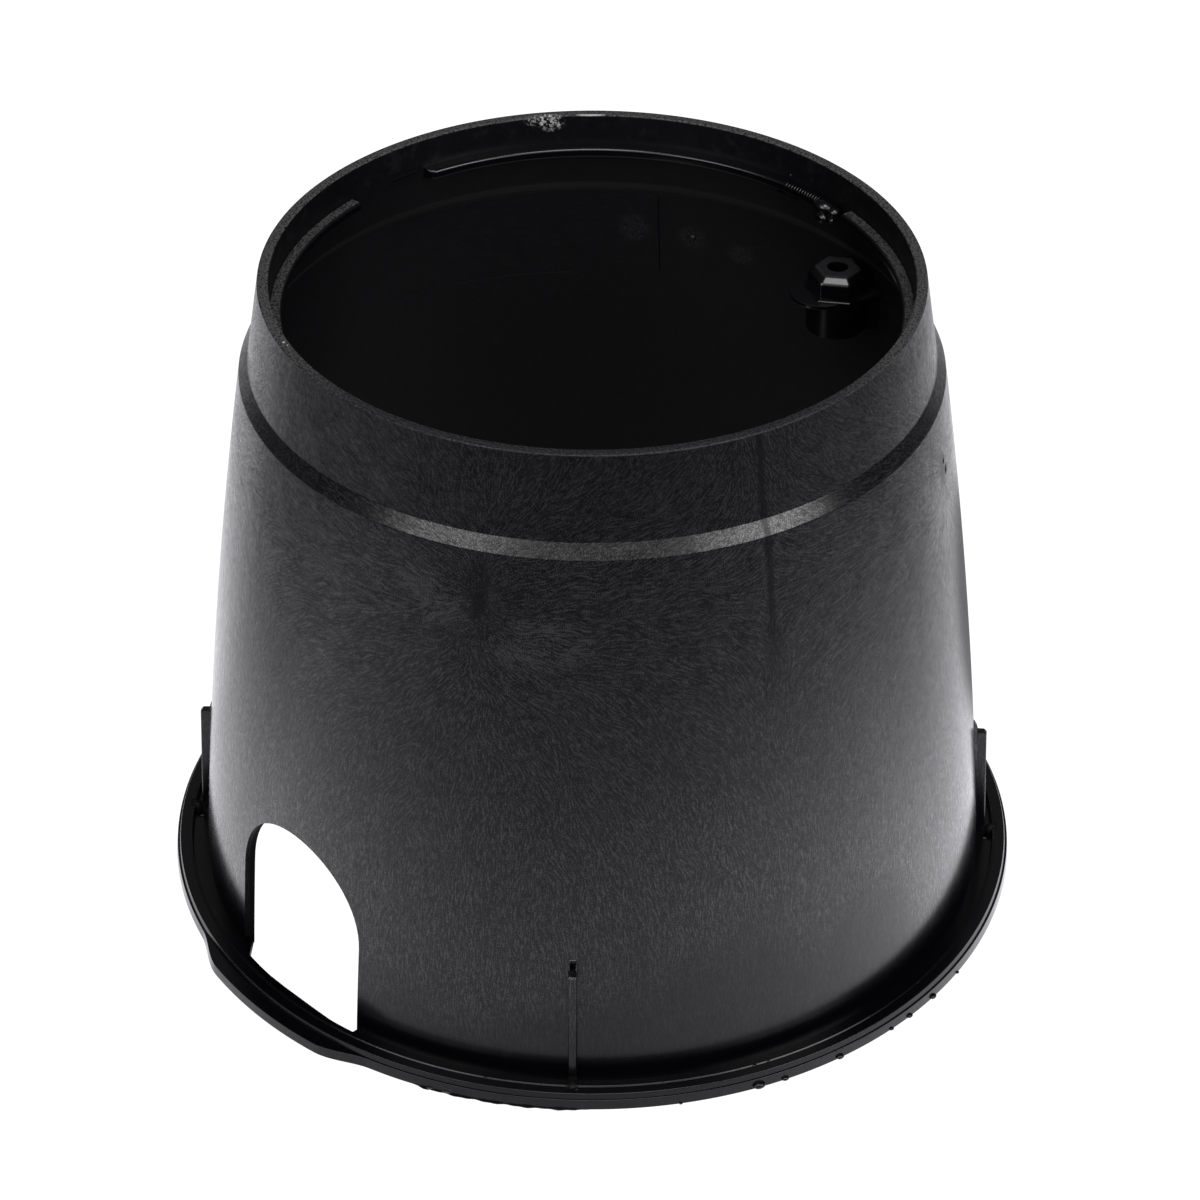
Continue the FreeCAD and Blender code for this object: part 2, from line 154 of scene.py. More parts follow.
def settled(piece):
    """Replace a piece's mesh by what its modifiers make of it."""
    bpy.context.view_layer.update()
    seen = piece.evaluated_get(bpy.context.evaluated_depsgraph_get())
    mesh = bpy.data.meshes.new_from_object(seen)
    piece.modifiers.clear()
    old, piece.data = piece.data, mesh
    bpy.data.meshes.remove(old)
    mesh.name = piece.name
    return piece


def combined(piece, tools, operation):
    """Join tools to a piece, or cut them out of it, and delete them."""
    for tool in tools:
        settled(tool)
    for tool in tools:
        step = piece.modifiers.new(tool.name, "BOOLEAN")
        step.solver = "MANIFOLD"
        step.operation = operation
        step.object = tool
    settled(piece)
    for tool in tools:
        bpy.data.objects.remove(tool)
    return piece


def bulge(angle):
    """Extra reach of the flange in front of a pipe opening: a smooth step over the angle off Y."""
    off = np.degrees(np.abs(angle % math.pi - QUARTER))
    share = np.clip((BULGE_GONE - off) / (BULGE_GONE - BULGE_FULL), 0, 1)
    return BULGE_REACH * share * share * (3 - 2 * share)


def moulded_wall():
    """The section of rim, collar, step, bowed wall and flange carried round the axis.

    The flange's edge reaches further out in front of the pipe openings, by the bulge.
    """
    heights = np.linspace(SHOULDER, WALL_FOOT, 44)
    outside = np.stack([wall_radius(heights), heights], axis=1)
    inside_heights = np.linspace(0.0, SHOULDER, 44)
    inside = np.stack([inner_radius(inside_heights), inside_heights], axis=1)

    recess, recess_top, rim = (118.3, 255), (118.3, HEIGHT), (122.4, HEIGHT)
    collar_foot, shoulder = (127.5, 227.4), (SHOULDER_RADIUS, SHOULDER)
    wall_end, lip_foot = (154.3, PLATE), (160.0, PLATE)
    lip_in, lip_out, lip_back = (160.4, 6.6), (161.0, 6.6), (161.4, 6.2)
    strip_end, parting_in, parting_out = (165.2, 6.3), (165.7, 4.2), (166.5, 4.2)
    base_out = (167.0, 0.0)
    inner_shoulder, inner_collar = (SHOULDER_RADIUS - WALL_THICKNESS, SHOULDER), (123.0, 227.4)
    set_back, set_back_end = (118.9, 243.9), (118.3, 243.9)

    top = [
        corner(recess, recess_top, rim, 0.8),
        corner(recess_top, rim, collar_foot, 0.8),
        corner(rim, collar_foot, shoulder, 1.0),
        corner(collar_foot, shoulder, outside[4], 1.6),
        outside[1:-1],
        np.array([wall_end, lip_foot]),
        corner(lip_foot, lip_in, lip_out, 0.2, 3),
        corner(lip_in, lip_out, lip_back, 0.25, 3),
        corner(lip_out, lip_back, strip_end, 0.1, 2),
        corner(lip_back, strip_end, parting_in, 0.4),
    ]
    edge = [
        corner(strip_end, parting_in, parting_out, 0.2, 3)[-1:],
        corner(parting_in, parting_out, base_out, 0.35, 4),
        corner(parting_out, base_out, inside[0], 0.35, 4),
    ]
    under = [
        corner(base_out, inside[0], inside[4], 0.4, 3),
        inside[1:-1],
        corner(inside[-5], inner_shoulder, inner_collar, 1.6),
        corner(inner_shoulder, inner_collar, set_back, 1.0),
        corner(inner_collar, set_back, set_back_end, 0.15, 2),
        corner(set_back, set_back_end, recess, 0.15, 2),
    ]
    section = np.concatenate(top + edge + under)
    grows = np.zeros(len(section))
    first = sum(map(len, top)) + 1
    grows[first:first + sum(map(len, edge)) - 1] = 1.0

    bulge_ends = np.radians(np.arange(8.2, 18.6, 0.5))
    angles = np.concatenate([
        np.linspace(-math.pi, math.pi, 400, endpoint=False),
        QUARTER + bulge_ends, QUARTER - bulge_ends,
        -QUARTER + bulge_ends, -QUARTER - bulge_ends,
    ])
    angles = np.unique(np.round(angles, 5))
    radius = section[:, 0] + bulge(angles)[:, None] * grows
    return surface("valve_box_body", polar(radius, angles[:, None], section[:, 1]), ring=True)


def ledge(name, first, last, noses=(False, False)):
    """Lid ledge between two angles: its rounded section carried round.

    An end is cut off, or it has a nose: a quarter circle that draws it back to the recess's wall.
    """
    inner, buried, drawn_to, nose = 113.7, 120.4, 119.2, 1.6
    section = outline([
        (inner, LEDGE_UNDER, 1.2), (buried, LEDGE_UNDER, 0),
        (buried, LEDGE_TOP, 0), (inner, LEDGE_TOP, 1.2),
    ], 6)
    ends = np.array([0, 0.1, 0.25, 0.5, 0.8, 1.2, nose])
    between = np.arange(first + 2.2, last - 2.0, 1.0)
    angles = np.radians(np.concatenate([first + ends, between, last - ends[::-1]]))
    drawn = np.zeros(len(angles))
    for rounded, end in zip(noses, (first, last)):
        if rounded:
            near = np.clip(np.abs(np.degrees(angles) - end) / nose, 0, 1)
            drawn = np.maximum(drawn, 1 - np.sqrt(1 - (1 - near) ** 2))
    radius = section[:, 0] + drawn[:, None] * np.clip(drawn_to - section[:, 0], 0, None)
    return surface(name, polar(radius, angles[:, None], section[:, 1]))


def foot_rib(angle):
    """Upright rib: a plan with a rounded nose carried up the wall to a flat top."""
    foot, top = 157.7, wall_radius(RIB_TOP) + 5.0
    rounded_from, nose, half_flat, half_root = 53.3, 0.6, 0.95, 1.9
    heights = np.array([1.5, 4, 8, 14, 20, 28, 36, 44, 50, rounded_from, 53.8, RIB_TOP])
    rise = np.clip((heights - PLATE) / (RIB_TOP - PLATE), 0, 1)
    reach = foot + (top - foot) * rise - np.clip(heights - rounded_from, 0, None)
    buried = wall_radius(heights) - HALF_WALL
    turn = np.linspace(-QUARTER, QUARTER, 9)
    nose_in = nose * (np.cos(turn) - 1)
    nose_across = np.sign(turn) * half_flat + nose * np.sin(turn)
    forward = np.concatenate([[0.0], np.ones(len(turn)), [0.0]])
    inset = np.concatenate([[0.0], nose_in, [0.0]])
    across = np.concatenate([[-half_root], nose_across, [half_root]])
    along = buried[:, None] + (reach - buried)[:, None] * forward + inset
    return surface(f"rib_{angle:.0f}", beside(along, across, heights[:, None], angle))


def rib_frame(angle):
    """Low frame that the mould left above a rib: a round-edged block that runs out upwards."""
    depth = 1.5
    heights = np.array([53.5, 55.0, 56.5, 58.6])
    out = np.array([1.5, 1.5, 1.2, 0.3])
    inner = wall_radius(heights) - depth
    along = inner[:, None] + (out + depth)[:, None] * np.array([0, 1, 1, 0])
    across = np.array([-1.8, -1.6, 1.6, 1.8])
    block = surface(f"frame_{angle:.0f}", beside(along, across, heights[:, None], angle))
    return bevelled(block, 0.6, 3)


def rib_pocket(angle):
    """Cutter for the pocket in that frame, above the rib's top."""
    heights = np.array([RIB_TOP, 57.4])
    along = (wall_radius(heights) - 2.2)[:, None] + np.array([0, 6.0, 6.0, 0])
    across = np.array([-1.1, -1.1, 1.1, 1.1])
    return surface(f"pocket_{angle:.0f}", beside(along, across, heights[:, None], angle))


def seam(name, angles, heights, half_angle, half_height):
    """Cutter for a fine groove inside the wall: a flat triangle carried along a path."""
    side = np.array([-1.0, 0.0, 1.0])
    at_height = np.asarray(heights, float)[:, None] + half_height * side
    at_angle = np.radians(np.asarray(angles, float)[:, None] + half_angle * side)
    radius = inner_radius(at_height) + np.array([-0.5, 0.4, -0.5])
    return surface(name, polar(radius, at_angle, at_height))


def lump(name, angle, radius, height, along, out, tall):
    """Rounded lump: an ellipsoid with half-lengths round, out from and parallel to the axis."""
    pole = 0.08
    rise = np.linspace(pole, math.pi - pole, 9)[:, None]
    turn = np.linspace(0, 2 * math.pi, 16, endpoint=False)
    forward = radius + out * np.sin(rise) * np.cos(turn)
    sideways = along * np.sin(rise) * np.sin(turn)
    return surface(name, beside(forward, sideways, height + tall * np.cos(rise), angle))


def rib_toe(angle):
    """Round toe of a rib on the flange's lip."""
    return lump(f"toe_{angle:.0f}", angle, 160.2, 4.2, 2.6, 3.0, 2.8)


def fin(name, first, last, inner, outer, bottom, top, waves=0.0):
    """Thin strip of flash between two angles: a rectangle carried round.

    Its outer side is uneven by two sine waves and runs out at both ends.
    """
    share = np.linspace(0, 1, 61)
    angles = np.radians(first + (last - first) * share)[:, None]
    ends = np.clip(np.minimum(share, 1 - share) * 9, 0.05, 1)
    uneven = 1 - waves * (0.5 + 0.3 * np.sin(share * 37) + 0.2 * np.sin(share * 83 + 1))
    width = ((outer - inner) * ends * uneven)[:, None]
    radius = inner + width * np.array([0, 1, 1, 0])
    return surface(name, polar(radius, angles, np.array([bottom, bottom, top, top], float)))


def flash_and_burrs():
    """What the mould left.

    Beads and a drop at the ledge's end, the inner gate's stub, beads at the ribs' toes, fins of
    flash, burrs under the flange's edge and nicks on its lip.
    """
    pieces = [
        lump(f"bead_{i}", 96.4 - 0.68 * i, 114.5, 246.0, 0.56, 2.3, 2.5) for i in range(13)
    ]
    pieces += [
        lump("ledge_drop", 86.9, 113.8, 245.6, 4.4, 3.3, 3.2),
        lump("ledge_drop_side", 84.0, 114.6, 245.2, 2.6, 2.6, 2.4),
        lump("ledge_drop_foot", 86.1, 111.6, 242.4, 3.2, 2.0, 2.3),
        lump("ledge_drop_tip", 83.6, 112.4, 243.0, 1.6, 1.2, 1.2),
        lump("recess_bead", 97.4, 118.2, 249.0, 0.8, 0.8, 0.8),
        lump("inner_gate_stub", 119.7, 129.3, 201.9, 1.5, 1.0, 1.6),
        lump("toe_bead", -44.35, 163.1, 6.4, 0.55, 0.55, 0.5),
        lump("left_toe_bead", 226.7, 157.6, PLATE, 0.5, 1.6, 0.6),
        lump("right_toe_bead", 43.4, 157.6, PLATE, 0.5, 1.6, 0.6),
        fin("ledge_fin", 93.4, 99.8, 116.5, 114.6, 242.3, 243.8),
        fin("nose_fin", 172.0, 179.0, 118.6, 117.8, 246.8, 247.1),
        fin("flange_fin", -67.3, -41.5, 166.2, 167.9, 0.05, 0.45, 0.45),
    ]
    burrs = [
        (-20.5, 2.5), (-16.8, 1.5), (-8.5, 1.7), (0.4, 1.0),
        (3.9, 1.4), (8.9, 1.6), (15.0, 0.8), (-31.0, 0.7),
    ]
    for i, (at, size) in enumerate(burrs):
        low, out, tall = 0.62 * size, 0.62 * size, 0.55 * size
        pieces.append(lump(f"burr_{i}", at, 167.2, low, size, out, tall))
    nicks = [(-20.3, 0.7), (-18.3, 0.5), (-56.5, 0.6), (8.2, 0.5), (-1.8, 0.4), (-49.0, 0.4)]
    for i, (at, size) in enumerate(nicks):
        pieces.append(lump(f"nick_{i}", at, 161.2, 6.2, 1.3 * size, size, 0.7 * size))
    return pieces


def gouges():
    """Cutters for two seams inside, a broken patch in the flange's edge and two pits by a gate."""
    round_wall = np.linspace(177.0, 140.0, 40)
    seam_heights = np.interp(round_wall, [140, 177], [180.9, 183.9])
    return [
        seam("core_seam", round_wall, seam_heights, 0.0, 0.5),
        seam("slide_seam", np.full(20, 125.8), np.linspace(183.0, 220.0, 20), 0.2, 0.0),
        lump("flange_gouge", -61.2, 167.9, 1.6, 3.4, 1.5, 1.7),
        lump("flange_gouge_end", -63.4, 167.6, 0.9, 2.2, 1.0, 0.9),
        lump("gate_pit", 31.4, 134.6, 202.3, 1.2, 1.0, 2.2),
        lump("gate_pit_low", 32.3, 135.1, 197.3, 1.3, 1.0, 2.4),
    ]


def prism(name, plan, heights, scales=None, centre=(0, 0)):
    """Flat plan carried up: one copy at each height, grown about its centre by a scale."""
    heights = np.asarray(heights, float)
    scales = np.ones(len(heights)) if scales is None else np.asarray(scales, float)
    plan = np.asarray(plan, float)
    grown = np.asarray(centre) + (plan - centre) * scales[:, None, None]
    return surface(name, beside(grown[..., 0], grown[..., 1], heights[:, None], BOSS_ANGLE))


def disc(x, y, radius, count=64, start=0.0):
    """Plan of a circle, or of a polygon whose first corner lies at an angle in degrees."""
    turn = math.radians(start) + np.linspace(0, 2 * math.pi, count, endpoint=False)
    return np.stack([x + radius * np.cos(turn), y + radius * np.sin(turn)], axis=1)


def bolt_boss():
    """Pieces of the boss inside the wall and the cutter for its hole.

    The pieces are the post, the lobed shelf, the web and the hexagon with its sloped crown.
    """
    at = BOLT_DISTANCE
    flats, crown_flats = 20.4, 15.0
    hexagon = disc(at, 0, flats / math.sqrt(3), 6, 16.8)
    slant = math.radians(-33.5)
    along = np.array([math.cos(slant), math.sin(slant)])
    across = np.array([-along[1], along[0]])
    start, half_web = np.array([at, 0.0]) - across * 2.4, across * 1.6
    web = np.stack([
        start - half_web, start - half_web + along * 22.5,
        start + half_web + along * 20.5, start + half_web,
    ])
    bridge = np.array([(at, -10.8), (130.6, -13.2), (130.6, 13.2), (at, 10.8)])
    lobe = prism("shelf_lobe", disc(at - 5.4, 3.0, 12.1), (211.7, 213.5))
    foot = prism("hexagon_foot", hexagon, (213.3, 214.2), (1.07, 1.07), (at, 0))
    crown_scales = (1, 1, crown_flats / flats)
    head = prism("boss_hexagon", hexagon, (212.6, 220.9, 223.8), crown_scales, (at, 0))
    pieces = [
        prism("boss_post", disc(at, 0, 11.6), (198.0, 212.6)),
        bevelled(lobe, 0.35, 2),
        prism("shelf_bridge", bridge, (211.72, 213.48)),
        prism("boss_web", web, (198.02, 212.4)),
        bevelled(foot, 0.5, 3),
        bevelled(head, 1.0, 4, 25),
    ]
    return pieces, prism("bolt_hole", disc(at, 0, 4.15, 40), (190, 230))


def pipe_opening(facing):
    """Cutter for an arched opening: the arch from inside the wall out to the sill's round edge."""
    below, inside = -4.0, 100.0
    turn = np.linspace(0, math.pi, 33)
    sill = np.linspace(-OPENING_HALF, OPENING_HALF, 24)[:-1]
    arch = OPENING_TOP - OPENING_HALF + OPENING_HALF * np.sin(turn)
    x = OPENING_SHIFT + np.concatenate([[OPENING_HALF], OPENING_HALF * np.cos(turn), sill])
    z = np.concatenate([[below], arch, np.full(len(sill), below)])
    y = np.stack([np.full(len(x), inside), np.sqrt(SILL_RADIUS ** 2 - x ** 2)])
    points = np.stack(np.broadcast_arrays(x * facing, y * facing, z), axis=-1)
    return surface("opening", points)


def sill_corner(facing):
    """Gusset between an opening's side and its sill: a triangle in plan, one plate thick."""
    jamb = OPENING_SHIFT + OPENING_HALF
    x = np.array([jamb - 7.9, jamb + 1.0, jamb + 1.0, jamb])
    reach = np.array([SILL_RADIUS, SILL_RADIUS, 150.2, 150.2])
    y = np.sqrt(reach ** 2 - x ** 2) + np.array([0.3, 0.3, 0, 0])
    z = np.array([[0.05], [3.1]])
    points = np.stack(np.broadcast_arrays(x * facing, y * facing, z), axis=-1)
    return surface(f"sill_corner_{facing}", points)


def build_body():
    """The whole moulding as one closed mesh."""
    body = moulded_wall()
    boss, hole = bolt_boss()
    added = [
        ledge("ledge_right", 8.75, 81.2),
        ledge("ledge_back", 84.34, 171.25, (False, True)),
        ledge("ledge_front", 188.75, 351.25),
        *map(foot_rib, RIB_ANGLES),
        *map(rib_frame, RIB_ANGLES),
        *map(rib_toe, RIB_ANGLES),
        *boss,
        *flash_and_burrs(),
    ]
    combined(body, added, "UNION")
    cut = [pipe_opening(1), pipe_opening(-1), hole, *map(rib_pocket, RIB_ANGLES), *gouges()]
    combined(body, cut, "DIFFERENCE")
    combined(body, [sill_corner(1), sill_corner(-1)], "UNION")
    body.data.shade_smooth()
    body.data.set_sharp_from_angle(angle=math.radians(32))
    flat = body.modifiers.new("flat_faces", "WEIGHTED_NORMAL")
    flat.keep_sharp = True
    return body


class Wire:
    """A shader socket that can be worked with: an expression adds its Math nodes."""

    def __init__(self, tree, socket):
        self.tree = tree
        self.socket = socket

    @staticmethod
    def node(tree, kind, settings=None, inputs=None, output=0):
        """Add a node of any kind: its settings, then the values or links of its sockets."""
        made = tree.nodes.new(kind)
        for name, value in (settings or {}).items():
            setattr(made, name, value)
        for key, value in (inputs or {}).items():
            if isinstance(value, Wire):
                tree.links.new(value.socket, made.inputs[key])
            else:
                made.inputs[key].default_value = value
        return Wire(tree, made.outputs[output])

    def maths(self, operation, *others, clamp=False):
        settings = {"operation": operation, "use_clamp": clamp}
        return Wire.node(self.tree, "ShaderNodeMath", settings, dict(enumerate((self, *others))))

    def __add__(self, other):
        return self.maths("ADD", other)

    def __sub__(self, other):
        return self.maths("SUBTRACT", other)

    def __mul__(self, other):
        return self.maths("MULTIPLY", other)

    def __truediv__(self, other):
        return self.maths("DIVIDE", other)

    def __pow__(self, other):
        return self.maths("POWER", other)

    def __neg__(self):
        return self * -1.0

    def __radd__(self, other):
        return self + other

    def __rmul__(self, other):
        return self * other

    def __rsub__(self, other):
        return -self + other

    def clamped(self):
        return self.maths("ADD", 0.0, clamp=True)

    def between(self, low, high):
        """0 at low, 1 at high, smooth in between."""
        settings = {"interpolation_type": "SMOOTHSTEP"}
        inputs = {0: self, 1: low, 2: high, 3: 0.0, 4: 1.0}
        return Wire.node(self.tree, "ShaderNodeMapRange", settings, inputs)

    def within(self, start, full, fading, end):
        """1 from full to fading, 0 before start and after end."""
        return self.between(start, full) * (1.0 - self.between(fading, end))


def vector(x, y, z):
    return Wire.node(x.tree, "ShaderNodeCombineXYZ", None, {0: x, 1: y, 2: z})


def vector_maths(operation, inputs, output=0):
    settings = {"operation": operation}
    return Wire.node(inputs[0].tree, "ShaderNodeVectorMath", settings, inputs, output)


def mixed(share, first, second):
    """Colour between two colours."""
    inputs = {0: share, 6: first, 7: second}
    return Wire.node(share.tree, "ShaderNodeMix", {"data_type": "RGBA"}, inputs, 2)


def noise(place, scale, detail=2.0, roughness=0.5):
    inputs = {"Vector": place, "Scale": scale, "Detail": detail, "Roughness": roughness}
    return Wire.node(place.tree, "ShaderNodeTexNoise", {"noise_dimensions": "3D"}, inputs)


def along_flow(place, direction, scale, step, count):
    """Noise averaged at places along the flow, which draws it out into streaks."""
    total = 0.0
    for i in range(count):
        distance = step * (i - (count - 1) / 2)
        shift = vector_maths("SCALE", {0: direction, "Scale": distance})
        total = total + noise(vector_maths("ADD", {0: place, 1: shift}), scale, 0.0)
    return total / count


def on_box(tree):
    """Place on the box in metres: the vector, x, y, z, the angle and distance from the axis."""
    place = Wire.node(tree, "ShaderNodeTexCoord", output="Object")
    x, y, z = (
        Wire.node(tree, "ShaderNodeSeparateXYZ", inputs={0: place}, output=i) for i in range(3)
    )
    return SimpleNamespace(
        place=place, x=x, y=y, z=z,
        angle=y.maths("ARCTAN2", x), radius=(x * x + y * y).maths("SQRT"),
    )


def spot(at, angle, height, across, tall):
    """1 in the middle of an oval on the wall, 0 beyond its edge; half-lengths in millimetres."""
    sideways = (at.angle - math.radians(angle)) * at.radius / (across * MM)
    upwards = (at.z - height * MM) / (tall * MM)
    return 1.0 - (sideways * sideways + upwards * upwards).between(0.15, 1.0)


def dot(at, angle, radius, height, size):
    """1 inside a small round mark of a given half-width in millimetres, 0 outside it."""
    middle = polar(radius * MM, math.radians(angle), height * MM).tolist()
    off = vector_maths("DISTANCE", {0: at.place, 1: middle}, "Value")
    return 1.0 - off.between(size * 0.6 * MM, size * MM)


def moulding_zones(at):
    """Masks of the moulding's parts, 1 on a part and 0 off it; lengths in metres."""
    # The middle of the wall and of the collar parts the outside from the inside
    share = ((SHOULDER * MM - at.z) / ((SHOULDER - WALL_FOOT) * MM)).clamped()
    bow = share * (1.0 - share) * (4.0 * WALL_BOW * MM)
    wall = share * (WALL_SPREAD * MM) + bow + (SHOULDER_RADIUS - HALF_WALL) * MM
    collar = (HEIGHT * MM - at.z) * 0.1564 + 0.1202
    middle = wall + at.z.maths("GREATER_THAN", 0.2247) * (collar - wall)
    outside = at.radius.maths("GREATER_THAN", middle)

    # Grained tops of the rim and the ledge; the back ledge is glossy instead
    at_back = at.angle.within(math.radians(82.4), math.radians(82.6), 3.0, 3.01)
    at_ledge = at.z.within(0.2396, 0.2400, 0.2486, 0.2490) * at.radius.maths("LESS_THAN", 0.1181)
    ledge_top = at.z.between(0.2471, 0.2473) * at_ledge * (1.0 - at_back)
    ledge_top = ledge_top * at.radius.maths("GREATER_THAN", 0.1146)
    grained = (at.z.between(0.2593, 0.2597) + ledge_top).clamped()

    # The boss has glossy sides, a dull post and pale tops
    off_x, off_y = at.x - 0.01606, at.y - 0.11286
    off_boss = (off_x * off_x + off_y * off_y).maths("SQRT")
    boss = (1.0 - off_boss.between(0.0255, 0.0260)) * at.radius.maths("LESS_THAN", 0.1262)
    boss = boss * at.z.within(0.1975, 0.1979, 0.2245, 0.2250)
    post = boss * (1.0 - at.z.between(0.2114, 0.2116))
    shelf_top = boss * at.z.within(0.2131, 0.2133, 0.2137, 0.2139)
    boss_top = (boss * at.z.between(0.2228, 0.2236) + shelf_top * 0.5).clamped()
    glossy = (boss - post - boss_top * 0.8 + at_ledge * (1.0 - ledge_top)).clamped()

    # Sides and toes of the ribs, and the pits beside the right gate
    off_rib = ((at.angle * 2.0).maths("COSINE") * at.radius * 0.5).maths("ABSOLUTE")
    rib_side = at.radius.maths("GREATER_THAN", wall + 0.0033) * off_rib.between(0.00125, 0.0015)
    rib_side = rib_side * at.z.within(0.0068, 0.0070, 0.060, 0.061)
    toe = (1.0 - off_rib.between(0.0024, 0.0027)) * at.z.within(0.0034, 0.0036, 0.0075, 0.0080)
    toe = toe * at.radius.within(0.1560, 0.1562, 0.1622, 0.1625)
    pits = dot(at, 31.4, 133.9, 202.3, 2.6) + dot(at, 32.3, 134.4, 197.3, 2.8)
    return SimpleNamespace(
        outside=outside, ledge_top=ledge_top, grained=grained, boss=boss, post=post,
        boss_top=boss_top, glossy=glossy, rib_side=rib_side, toe=toe, pits=pits,
    )


def melt_flow(at):
    """The melt's stream lines from four gates round the wall.

    With X = 2 (angle - gate angle) and Y = 2 (height - gate height) / radius, the flow is
    log sin(X + iY), so the melt runs along (sin 2X, sinh 2Y): outwards at a gate, then up and
    down the wall, with knit lines in between. Half of the upward share is taken, because the melt
    ran further sideways than that. Noise bends the lines, and less so at the foot.
    """
    gate_radius = 0.138
    double_x = (at.angle - math.radians(GATE_ANGLE)) * 4.0
    double_y = (at.z - GATE_HEIGHT * MM) * (4.0 / gate_radius)
    sine, cosine = double_x.maths("SINE"), double_x.maths("COSINE")
    rise = double_y.maths("SINH") * 0.5
    length = (sine * sine + rise * rise).maths("SQRT") + 0.0001
    sideways, upwards = sine / length, rise / length
    bend = (noise(at.place, 75.0, 1.0) - 0.5) * (at.z.between(0.05, 0.13) * 1.4 + 0.9)
    turned_side, turned_up = sideways + bend * upwards, upwards - bend * sideways
    turned_x = -(at.y * turned_side / at.radius)
    turned_y = at.x * turned_side / at.radius
    return SimpleNamespace(
        sine=sine, cosine=cosine,
        from_gate=((double_y.maths("COSH") - cosine) * 0.5).maths("SQRT"),
        direction=vector(turned_x, turned_y, turned_up),
    )


def flow_marks(at, flow, outside, mottle):
    """Pale ferns and a dark middle at the gates, and dark knit lines between the gates."""
    ferns = spot(at, -68.7, 199.4, 22.0, 14.0) + spot(at, -50.2, 188.0, 22.0, 13.0) * 0.8
    ferns = ferns + spot(at, 27.0, 192.0, 17.0, 26.0)
    ferns = (ferns * outside * (mottle.between(0.34, 0.56) * 0.75 + 0.25)).clamped()
    ferns = ferns * flow.from_gate.between(0.05, 0.12)
    core = spot(at, GATE_ANGLE, GATE_HEIGHT - 0.7, 3.6, 6.5)
    core = core + spot(at, GATE_ANGLE, GATE_HEIGHT + 9.0, 5.0, 11.0) * 0.45
    core = core + spot(at, GATE_ANGLE + 90.0, GATE_HEIGHT - 2.0, 3.6, 9.0)
    core = core.clamped() * outside
    wide = 1.0 - at.z.between(0.158, 0.196)
    knit = 1.0 - flow.sine.maths("ABSOLUTE").between(0.018, wide * 0.22 + 0.065)
    knit = knit * (-flow.cosine).between(0.0, 0.1) * at.z.between(0.150, 0.176) * outside
    knit = knit * (1.0 - wide * 0.6) * (at.angle.between(-1.7, -1.6) * 0.75 + 0.25)
    return ferns, core, knit


def scuffs(at, outside):
    """White scuffs: a smeared patch and a scratch inside the rim, two dots on top of it."""
    patch = spot(at, 145.4, 257.2, 5.8, 4.4) + spot(at, 147.6, 258.6, 7.0, 3.0) * 0.7
    smear = noise(at.place, 900.0, 3.0, 0.7).between(0.47, 0.62)
    scratch = spot(at, 138.0, 259.9, 6.6, 0.6) * at.radius.maths("LESS_THAN", 0.1189)
    dots = dot(at, -108.0, 120.3, HEIGHT, 0.7) + dot(at, -106.9, 119.8, HEIGHT, 0.4)
    return (patch * smear * (1.0 - outside) + scratch + dots).clamped()


def marks_and_step_highlight(at, zone, grain):
    """Pale marks inside: fuzz at the inner gate, a painted highlight along the inner step and dust
    in the recess.
    """
    inside = 1.0 - zone.outside
    fuzz = spot(at, 119.7, 202.0, 7.0, 7.0) + spot(at, 130.2, 204.0, 8.0, 8.0)
    fuzz = (fuzz + spot(at, 110.5, 198.5, 7.0, 6.0)) * inside * grain.between(0.40, 0.70)
    # Painted highlight: a pale band along the inside of the step
    step = at.z.within(0.2230, 0.2242, 0.2268, 0.2284) * inside * (1.0 - zone.boss)
    dust = noise(at.place, 140.0, 2.0, 0.7).between(0.50, 0.70)
    dust = at.z.between(0.2490, 0.2500) * inside * dust * (1.0 - zone.grained)
    return fuzz * 0.35 + step * 0.24 + dust * 0.10


